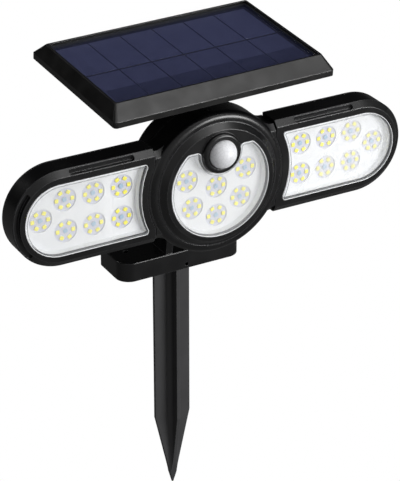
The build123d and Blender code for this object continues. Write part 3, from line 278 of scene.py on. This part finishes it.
def printedBoard(name, look):
    # solder mask over copper: an even coat in which the tracks stand a little lighter
    material, tree, shader, place = startMaterial(name)
    flat = addNode(tree, "ShaderNodeMapping", {"Rotation": (math.radians(90), 0, 0)}, {"Vector": place})
    tracks = addNode(
        tree, "ShaderNodeTexBrick",
        {"Scale": 1 / (look["trackMm"] * mm), "Mortar Size": look["gapShare"],
         "Color1": linearColour(look["colour"]), "Color2": linearColour(look["padColour"]),
         "Mortar": linearColour(look["gapColour"])},
        {"Vector": flat.outputs["Vector"]},
    )
    shader.inputs["Roughness"].default_value = look["roughness"]
    tree.links.new(tracks.outputs["Color"], shader.inputs["Base Color"])
    return material


# white mask that looks lilac grey in the shade of the tray, and green mask on the control board
ledBoardLook = {
    "colour": "#d9dae8", "padColour": "#dddeea", "gapColour": "#cfd0e0", "trackMm": 6, "gapShare": 0.06,
    "roughness": 0.4,
}
controlBoardLook = dict(
    ledBoardLook, colour="#14532d", padColour="#1b6237", gapColour="#0f4023", trackMm=5, roughness=0.35
)
# moulded epoxy of the components and the cradle, and plain blue film shrunk round the cells
epoxyLook = dict(siliconeLook, colour="#141416", patchColour="#1b1b1e", roughness=0.45, ior=1.55)
shrinkLook = dict(reflectorLook, colour="#2a5fa6", patchColour="#24548f")
ledBoardMask = printedBoard("whiteSolderMask", ledBoardLook)
controlBoardMask = printedBoard("greenSolderMask", controlBoardLook)
epoxyBlack = mouldedPlastic("mouldedEpoxy", epoxyLook)
shrinkFilm = mouldedPlastic("blueShrinkFilm", shrinkLook)

dress(casingAbs, "base_housing", "base_plate", "head_front_housing", "head_bezel", "head_rear_housing",
      "left_wing_housing", "right_wing_housing", "left_wing_back_cover", "right_wing_back_cover",
      "panel_knuckle")
dress(panelFrameAbs, "panel_housing", "panel_back_cover")
dress(stakeAbs, "ground_stake")
dress(reflectorAbs, "head_reflector", "left_wing_reflector", "right_wing_reflector")
dress(siliconeRubber, "head_seal", "left_wing_seal", "right_wing_seal", "panel_gasket", "mode_button")
dress(clearPolycarbonate, "head_lens_cover")
dress(rightPolycarbonate, "right_wing_lens_cover")
dress(leftPolycarbonate, "left_wing_lens_cover")
dress(temperedGlass, "panel_glass")
dress(zincSteel, "base_screws", "head_screws", "left_wing_screws", "right_wing_screws", "panel_screws",
      "left_hinge_pin", "right_hinge_pin", "swivel_screw", "pir_sensor")
dress(blackSteel, "tilt_bolt", "tilt_nut", "panel_bolt", "panel_nut")
dress(ledBoardMask, "head_led_board", "left_wing_led_board", "right_wing_led_board")
dress(controlBoardMask, "control_board")
dress(epoxyBlack, "board_components", "mode_switch", "battery_cradle")
dress(shrinkFilm, "battery_cells")
print("casings and small parts dressed")


def milkyPolyethylene(look):
    # thin milky polyethylene: soft and slightly see-through, with the lens cells pressed into its skin
    material, tree, shader, place = startMaterial("milkyPolyethylene")
    cells = addNode(
        tree, "ShaderNodeTexVoronoi", {"Scale": 1 / (look["cellMm"] * mm), "feature": "DISTANCE_TO_EDGE"},
        {"Vector": place},
    )
    flat = addNode(
        tree, "ShaderNodeMapRange", {"From Max": look["grooveShare"]}, {"Value": cells.outputs["Distance"]}
    )
    bump = addNode(
        tree, "ShaderNodeBump", {"Strength": look["cellStrength"], "Distance": look["cellDepthMm"] * mm},
        {"Height": flat.outputs["Result"]},
    )
    # painted shade: the grooves between the lens cells are darker than the cells
    tint = blendColours(tree, flat.outputs["Result"], look["grooveShade"], look["colour"])
    tree.links.new(tint, shader.inputs["Base Color"])
    tree.links.new(bump.outputs["Normal"], shader.inputs["Normal"])
    shader.inputs["Roughness"].default_value = look["roughness"]
    shader.inputs["Subsurface Radius"].default_value = (1, 1, 1)
    shader.inputs["Subsurface Weight"].default_value = look["milkiness"]
    shader.inputs["Subsurface Scale"].default_value = look["milkDepthMm"] * mm
    shader.inputs["IOR"].default_value = look["ior"]
    return material


domeLook = {
    "colour": "#e9eaee", "grooveShade": "#d9dade", "cellMm": 2.8, "grooveShare": 0.12,
    "cellStrength": 0.35, "cellDepthMm": 0.08, "roughness": 0.42,
    "milkiness": 0.5, "milkDepthMm": 3, "ior": 1.5,
}
dress(milkyPolyethylene(domeLook), "pir_dome")

# each cluster is six chips in a ring round a small pale one, with a cap of phosphor on every chip
ledCluster = {
    "ringMm": 6.6, "chips": 6, "capLongMm": 3.5, "capWideMm": 3.2, "capLiftMm": 0.2,
    "dotHalfMm": 1.9, "dotLiftMm": 0.1, "dotTurn": 0.4,
    "headFaceMm": -76.2, "wingFaceMm": -70.5, "sink": 0.02,
}
wingGrid = {"firstX": 80.3, "pitch": 24.0, "columns": 3, "rowZ": 13.2, "endX": 148.95}
wingColumns = [wingGrid["firstX"] + i * wingGrid["pitch"] for i in range(wingGrid["columns"])]
wingSpots = [(x, z) for x in wingColumns for z in (wingGrid["rowZ"], -wingGrid["rowZ"])]
wingSpots.append((wingGrid["endX"], 0))
headSpots = [(26.16, 6.8), (-26.16, 6.8), (0, -3.44), (21.61, -17.3), (-21.61, -17.3), (0, -28.56)]


def phosphorMaterial(look):
    # yellow phosphor set in clear resin, a little uneven in depth. The light is off: the faint glow is
    # added only so that the yellow shows behind the frosted covers.
    material, tree, shader, place = startMaterial("yellowPhosphor")
    clouds = addNode(tree, "ShaderNodeTexNoise", {"Scale": 1 / (look["cloudMm"] * mm)}, {"Vector": place})
    tint = blendColours(tree, clouds.outputs["Fac"], look["colour"], look["paleColour"])
    tree.links.new(tint, shader.inputs["Base Color"])
    tree.links.new(tint, shader.inputs["Emission Color"])
    shader.inputs["Emission Strength"].default_value = look["glow"]
    shader.inputs["Roughness"].default_value = look["roughness"]
    shader.inputs["IOR"].default_value = look["ior"]
    return material


phosphorLook = {
    "colour": "#eee21e", "paleColour": "#f3ec4c", "cloudMm": 1.2, "glow": 0.22,
    "roughness": 0.25, "ior": 1.5,
}
phosphor = phosphorMaterial(phosphorLook)
# moulded nylon body of each chip, and the pale blue resin of the small one in the middle
chipBodyLook = dict(reflectorLook, colour="#ecebd2", patchColour="#e6e5c8", roughness=0.4)
paleDotLook = dict(reflectorLook, colour="#a9c6df", patchColour="#9dbdd9", roughness=0.3)
chipBody = mouldedPlastic("whiteChipBody", chipBodyLook)
paleDot = mouldedPlastic("paleBlueResin", paleDotLook)


# the caps' pillow shape: the share of the half width that is corner, the points round each corner,
# and the outline's scale at each share of the height
pillow = {"cornerShare": 0.6, "steps": 3, "profile": ((1.0, 0.0), (1.0, 0.5), (0.8, 1.0))}


def roundedPatch(shape, x, z, halfX, halfZ, turn, front, rise):
    # a low pillow with rounded corners, facing the front
    corner = min(halfX, halfZ) * pillow["cornerShare"]
    steps = pillow["steps"]
    outline = []
    for quarter, (signX, signZ) in enumerate(((1, 1), (-1, 1), (-1, -1), (1, -1))):
        for i in range(steps + 1):
            a = math.radians(90 * quarter + 90 * i / steps)
            outline.append((signX * (halfX - corner) + corner * math.cos(a),
                            signZ * (halfZ - corner) + corner * math.sin(a)))
    rings = []
    for scale, height in pillow["profile"]:
        depth = rise * height
        ring = []
        for px, pz in outline:
            rx = px * scale * math.cos(turn) - pz * scale * math.sin(turn)
            rz = px * scale * math.sin(turn) + pz * scale * math.cos(turn)
            ring.append(shape.verts.new(((x + rx) * mm, (front - depth) * mm, (headZ + z + rz) * mm)))
        rings.append(ring)
    count = len(outline)
    for lower, upper in zip(rings, rings[1:]):
        for i in range(count):
            shape.faces.new((lower[i], lower[(i + 1) % count], upper[(i + 1) % count], upper[i]))
    shape.faces.new(rings[-1])


def addClusters(label, spots, face, body):
    front = face + ledCluster["sink"]

    def caps(shape):
        for x, z in spots:
            for i in range(ledCluster["chips"]):
                a = 2 * math.pi * i / ledCluster["chips"]
                capX = x + ledCluster["ringMm"] * math.cos(a)
                capZ = z + ledCluster["ringMm"] * math.sin(a)
                roundedPatch(shape, capX, capZ, ledCluster["capWideMm"] / 2, ledCluster["capLongMm"] / 2, a,
                             front, ledCluster["capLiftMm"])

    def dots(shape):
        half = ledCluster["dotHalfMm"]
        for x, z in spots:
            roundedPatch(shape, x, z, half, half, ledCluster["dotTurn"], front, ledCluster["dotLiftMm"])

    meshPiece(label + "Phosphor", caps, phosphor, body)
    meshPiece(label + "CentreDots", dots, paleDot, body)


dress(chipBody, "head_leds", "left_wing_leds", "right_wing_leds")
addClusters("head", headSpots, ledCluster["headFaceMm"], "head")
addClusters("leftWing", [(-x, z) for x, z in wingSpots], ledCluster["wingFaceMm"], "left_wing")
addClusters("rightWing", wingSpots, ledCluster["wingFaceMm"], "right_wing")
print("clusters placed")


def arcPoints(cx, cz, radius, start, end, count):
    angles = [math.radians(start + (end - start) * i / count) for i in range(count + 1)]
    return [(cx + radius * math.cos(a), cz + radius * math.sin(a)) for a in angles]


wingWindow = {"half": 30.4, "endX": 134.5, "inner": 66.0, "corner": 3.0, "leastCorner": 0.8}
headWindow = {"radius": 43.7, "hornTop": 32.8, "round": 4.0, "collarZ": 28.7, "collar": 17.0}
# how many straight runs stand in for each arc of a window's outline
arcRuns = {"corner": 6, "tip": 5, "hollow": 16, "round": 40}


def wingWindowPath(inset):
    half = wingWindow["half"] - inset
    inner = wingWindow["inner"] + inset
    corner = max(wingWindow["corner"] - inset, wingWindow["leastCorner"])
    cornerX = math.sqrt((inner + corner) ** 2 - (half - corner) ** 2)
    lean = math.degrees(math.atan2(half - corner, cornerX))
    top = arcPoints(cornerX, half - corner, corner, 90, 180 + lean, arcRuns["corner"])
    hollow = arcPoints(0, 0, inner, lean, -lean, arcRuns["hollow"])
    bottom = arcPoints(cornerX, -half + corner, corner, 180 - lean, 270, arcRuns["corner"])
    outer = arcPoints(wingWindow["endX"], 0, half, -90, 90, arcRuns["round"])
    return top + hollow[1:-1] + bottom + outer


def crescentPath(inset):
    radius = headWindow["radius"] - inset
    collar = headWindow["collar"] + inset
    top = headWindow["hornTop"] - inset
    tip = headWindow["round"] - inset
    tipX = math.sqrt((radius - tip) ** 2 - (top - tip) ** 2)
    lean = math.degrees(math.atan2(top - tip, tipX))
    right = arcPoints(0, 0, radius, -90, lean, arcRuns["round"])
    right += arcPoints(tipX, top - tip, tip, lean, 90, arcRuns["tip"])[1:]
    right += arcPoints(collar + tip, top - tip, tip, 90, 180, arcRuns["corner"])
    right += arcPoints(0, headWindow["collarZ"], collar, 0, -90, arcRuns["hollow"])
    left = [(-x, z) for x, z in reversed(right)]
    return right[:-1] + left[:-1]


lipGloss = {"roughness": 0.15, "ior": 1.58}


def paintedLipMaterial(name, look):
    # the moulded edge of a cover, drawn as an opaque line whose colour is painted light: the outer line is
    # a painted highlight where clear plastic gathers the light, the inner one painted shade, and both come
    # and go along their length
    material, tree, shader, place = startMaterial(name)
    along = addNode(tree, "ShaderNodeTexNoise", {"Scale": 1 / (look["breakMm"] * mm)}, {"Vector": place})
    tint = blendColours(tree, along.outputs["Fac"], look["colour"], look["paleColour"])
    tree.links.new(tint, shader.inputs["Base Color"])
    shader.inputs["Roughness"].default_value = lipGloss["roughness"]
    shader.inputs["IOR"].default_value = lipGloss["ior"]
    return material


def addLip(name, points, depthMm, thickMm, material, body, side=1):
    curve = bpy.data.curves.new(name, "CURVE")
    curve.dimensions = "3D"
    curve.bevel_depth = thickMm * mm
    curve.bevel_resolution = 2
    line = curve.splines.new("POLY")
    line.points.add(len(points) - 1)
    for point, (x, z) in zip(line.points, points):
        point.co = (side * x * mm, depthMm * mm, (headZ + z) * mm, 1)
    line.use_cyclic_u = True
    curve.materials.append(material)
    lip = bpy.data.objects.new(name, curve)
    scene.collection.objects.link(lip)
    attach(lip, body)


# a painted highlight as a bright outer line and painted shade as a darker inner one run round each window
lipRings = {
    "OuterHighlight": {"inset": 0.5, "thickMm": 0.3, "colour": "#e2e4e7", "paleColour": "#f4f5f6", "breakMm": 12},
    "InnerShade": {"inset": 1.9, "thickMm": 0.22, "colour": "#505358", "paleColour": "#9a9da1", "breakMm": 14},
}
lipDepth = {"head": -83.85, "wing": -77.75}
for ringName, ring in lipRings.items():
    ringMaterial = paintedLipMaterial("paintedLightLip" + ringName, ring)
    for sideName, side in (("left", -1), ("right", 1)):
        addLip(sideName + "Lip" + ringName, wingWindowPath(ring["inset"]), lipDepth["wing"],
               ring["thickMm"], ringMaterial, sideName + "_wing", side)
    addLip("headLip" + ringName, crescentPath(ring["inset"]), lipDepth["head"], ring["thickMm"],
           ringMaterial, "head")
print("cover lips drawn")

panelPose = {"y": -24.4, "z": 196.5, "tilt": 4.52, "turn": 2.25}
solarLook = {
    "colour": "#44486a", "crystalColour": "#4f5375", "line": "#6b7194", "fingerMm": 2.4, "fingerWide": 0.35,
    "fingerStrength": 0.14, "crystalMm": 9, "roughness": 0.3, "ior": 1.6,
}


def siliconCells(look):
    # polycrystalline silicon under laminate: dark blue violet, with printed silver lines.
    # The lines are really about 0.1 mm wide, and are drawn wider so that they show at all.
    material, tree, shader, place = startMaterial("coatedSilicon")
    flat = addNode(
        tree, "ShaderNodeMapping",
        {"vector_type": "TEXTURE", "Location": (0, panelPose["y"] * mm, panelPose["z"] * mm),
         "Rotation": (math.radians(panelPose["tilt"]), 0, math.radians(panelPose["turn"]))},
        {"Vector": place},
    )
    parts = addNode(tree, "ShaderNodeSeparateXYZ", links={"Vector": flat.outputs["Vector"]})
    turns = addNode(
        tree, "ShaderNodeMath", {"operation": "MULTIPLY", 1: 1 / (look["fingerMm"] * mm)},
        {0: parts.outputs["X"]},
    )
    saw = addNode(tree, "ShaderNodeMath", {"operation": "FRACT"}, {0: turns.outputs[0]})
    fingers = addNode(
        tree, "ShaderNodeMath", {"operation": "LESS_THAN", 1: look["fingerWide"] / look["fingerMm"]},
        {0: saw.outputs[0]},
    )
    soft = addNode(
        tree, "ShaderNodeMath", {"operation": "MULTIPLY", 1: look["fingerStrength"]},
        {0: fingers.outputs[0]},
    )
    grains = addNode(
        tree, "ShaderNodeTexVoronoi", {"Scale": 1 / (look["crystalMm"] * mm)},
        {"Vector": flat.outputs["Vector"]},
    )
    crystal = blendColours(tree, grains.outputs["Distance"], look["colour"], look["crystalColour"])
    tree.links.new(blendColours(tree, soft.outputs[0], crystal, look["line"]), shader.inputs["Base Color"])
    shader.inputs["Roughness"].default_value = look["roughness"]
    shader.inputs["IOR"].default_value = look["ior"]
    return material


# dark laminate behind the cells, seen as thin lines between them
laminateLook = dict(siliconeLook, colour="#1c1a1c", patchColour="#211f21", roughness=0.4)
dress(siliconCells(solarLook), "panel_cells")
dress(mouldedPlastic("darkLaminate", laminateLook), "panel_backsheet")
print("solar cells dressed")

view = {
    "targetMm": (-11.06, -70.23, 51.59), "azimuth": -29.02, "elevation": 27.57, "distanceMm": 1636.86,
    "lens": 154.25, "sensor": 36, "nearest": 0.05, "farthest": 60,
}
turnTo, lift = math.radians(view["azimuth"]), math.radians(view["elevation"])
back = Vector((math.sin(turnTo) * math.cos(lift), -math.cos(turnTo) * math.cos(lift), math.sin(lift)))
cameraData = bpy.data.cameras.new("camera")
cameraData.sensor_width = view["sensor"]
cameraData.lens = view["lens"]
cameraData.clip_start, cameraData.clip_end = view["nearest"], view["farthest"]
camera = bpy.data.objects.new("camera", cameraData)
scene.collection.objects.link(camera)
camera.location = (Vector(view["targetMm"]) + back * view["distanceMm"]) * mm
camera.rotation_mode = "QUATERNION"
camera.rotation_quaternion = (-back).to_track_quat("-Z", "Y")
scene.camera = camera
scene.view_settings.view_transform = "Standard"

# the studio: floor and room are full white only where the camera sees them directly. As light and in
# reflections the floor is a dim pool and the room is dark behind, so black plastic stays black against
# white paper, and no shadow falls on the floor.
studio = {
    "floorMm": -224.0, "floorHalf": 9.0, "paper": "#ffffff",
    "poolNear": 0.2, "poolFar": 0.1, "poolFromY": -0.35, "poolToY": 0.3,
    "frontSky": 0.4, "backSky": 0.02, "skyFromY": -0.7, "skyToY": 0.2,
}


def studioPaper(tree, output, position, near, far, start, end):
    # full strength for camera rays, and for all others a fade along Y from near to far
    seen = addNode(tree, "ShaderNodeLightPath").outputs["Is Camera Ray"]
    along = addNode(tree, "ShaderNodeSeparateXYZ", links={"Vector": position})
    fade = addNode(
        tree, "ShaderNodeMapRange",
        {"interpolation_type": "SMOOTHSTEP", "From Min": start, "From Max": end,
         "To Min": near, "To Max": far},
        {"Value": along.outputs["Y"]},
    )
    strength = addNode(tree, "ShaderNodeMix", {3: 1.0}, {0: seen, 2: fade.outputs["Result"]})
    tree.links.new(strength.outputs[0], output)


def paleFloor():
    material = bpy.data.materials.new("palePaper")
    material.use_nodes = True
    tree = material.node_tree
    tree.nodes.clear()
    glow = addNode(tree, "ShaderNodeEmission", {"Color": linearColour(studio["paper"])})
    addNode(tree, "ShaderNodeOutputMaterial", links={"Surface": glow.outputs["Emission"]})
    place = addNode(tree, "ShaderNodeTexCoord").outputs["Object"]
    studioPaper(tree, glow.inputs["Strength"], place, studio["poolNear"], studio["poolFar"],
                studio["poolFromY"], studio["poolToY"])
    shape = bmesh.new()
    half, level = studio["floorHalf"], studio["floorMm"] * mm
    corners = ((-1, -1), (1, -1), (1, 1), (-1, 1))
    shape.faces.new([shape.verts.new((x * half, y * half, level)) for x, y in corners])
    data = bpy.data.meshes.new("floor")
    shape.to_mesh(data)
    shape.free()
    data.materials.append(material)
    floor = bpy.data.objects.new("floor", data)
    scene.collection.objects.link(floor)


def paleRoom():
    world = bpy.data.worlds.new("studio")
    scene.world = world
    world.use_nodes = True
    tree = world.node_tree
    glow = tree.nodes["Background"]
    glow.inputs["Color"].default_value = linearColour(studio["paper"])
    direction = addNode(tree, "ShaderNodeTexCoord").outputs["Generated"]
    studioPaper(tree, glow.inputs["Strength"], direction, studio["frontSky"], studio["backSky"],
                studio["skyFromY"], studio["skyToY"])


def softBox(name, place, aim, size, brightness):
    # an area light whose power follows from its size, so that brightness is what a mirror would show
    lamp = bpy.data.lights.new(name, "AREA")
    lamp.shape = "RECTANGLE"
    lamp.size, lamp.size_y = size
    lamp.energy = brightness * math.pi * size[0] * size[1]
    holder = bpy.data.objects.new(name, lamp)
    scene.collection.objects.link(holder)
    holder.location = place
    holder.rotation_euler = (Vector(aim) - Vector(place)).to_track_quat("-Z", "Y").to_euler()


boxes = {
    "topBox": {"place": (0.3, -0.5, 2.2), "aim": (0.1, -0.3, 0.0), "size": (2.4, 2.0), "brightness": 1.2},
    "panelBox": {"place": (1.2, -1.3, 2.1), "aim": (0, 0, 0.2), "size": (1.2, 0.6), "brightness": 3.4},
    "frontBox": {"place": (1.5, -2.4, 0.4), "aim": (0, 0, 0.1), "size": (1.3, 1.1), "brightness": 15.0},
    "backBox": {"place": (-1.6, 1.4, 1.8), "aim": (0, 0, 0.1), "size": (0.9, 0.6), "brightness": 4.0},
}
paleFloor()
paleRoom()
for boxName, box in boxes.items():
    softBox(boxName, **box)
print("camera and light set")
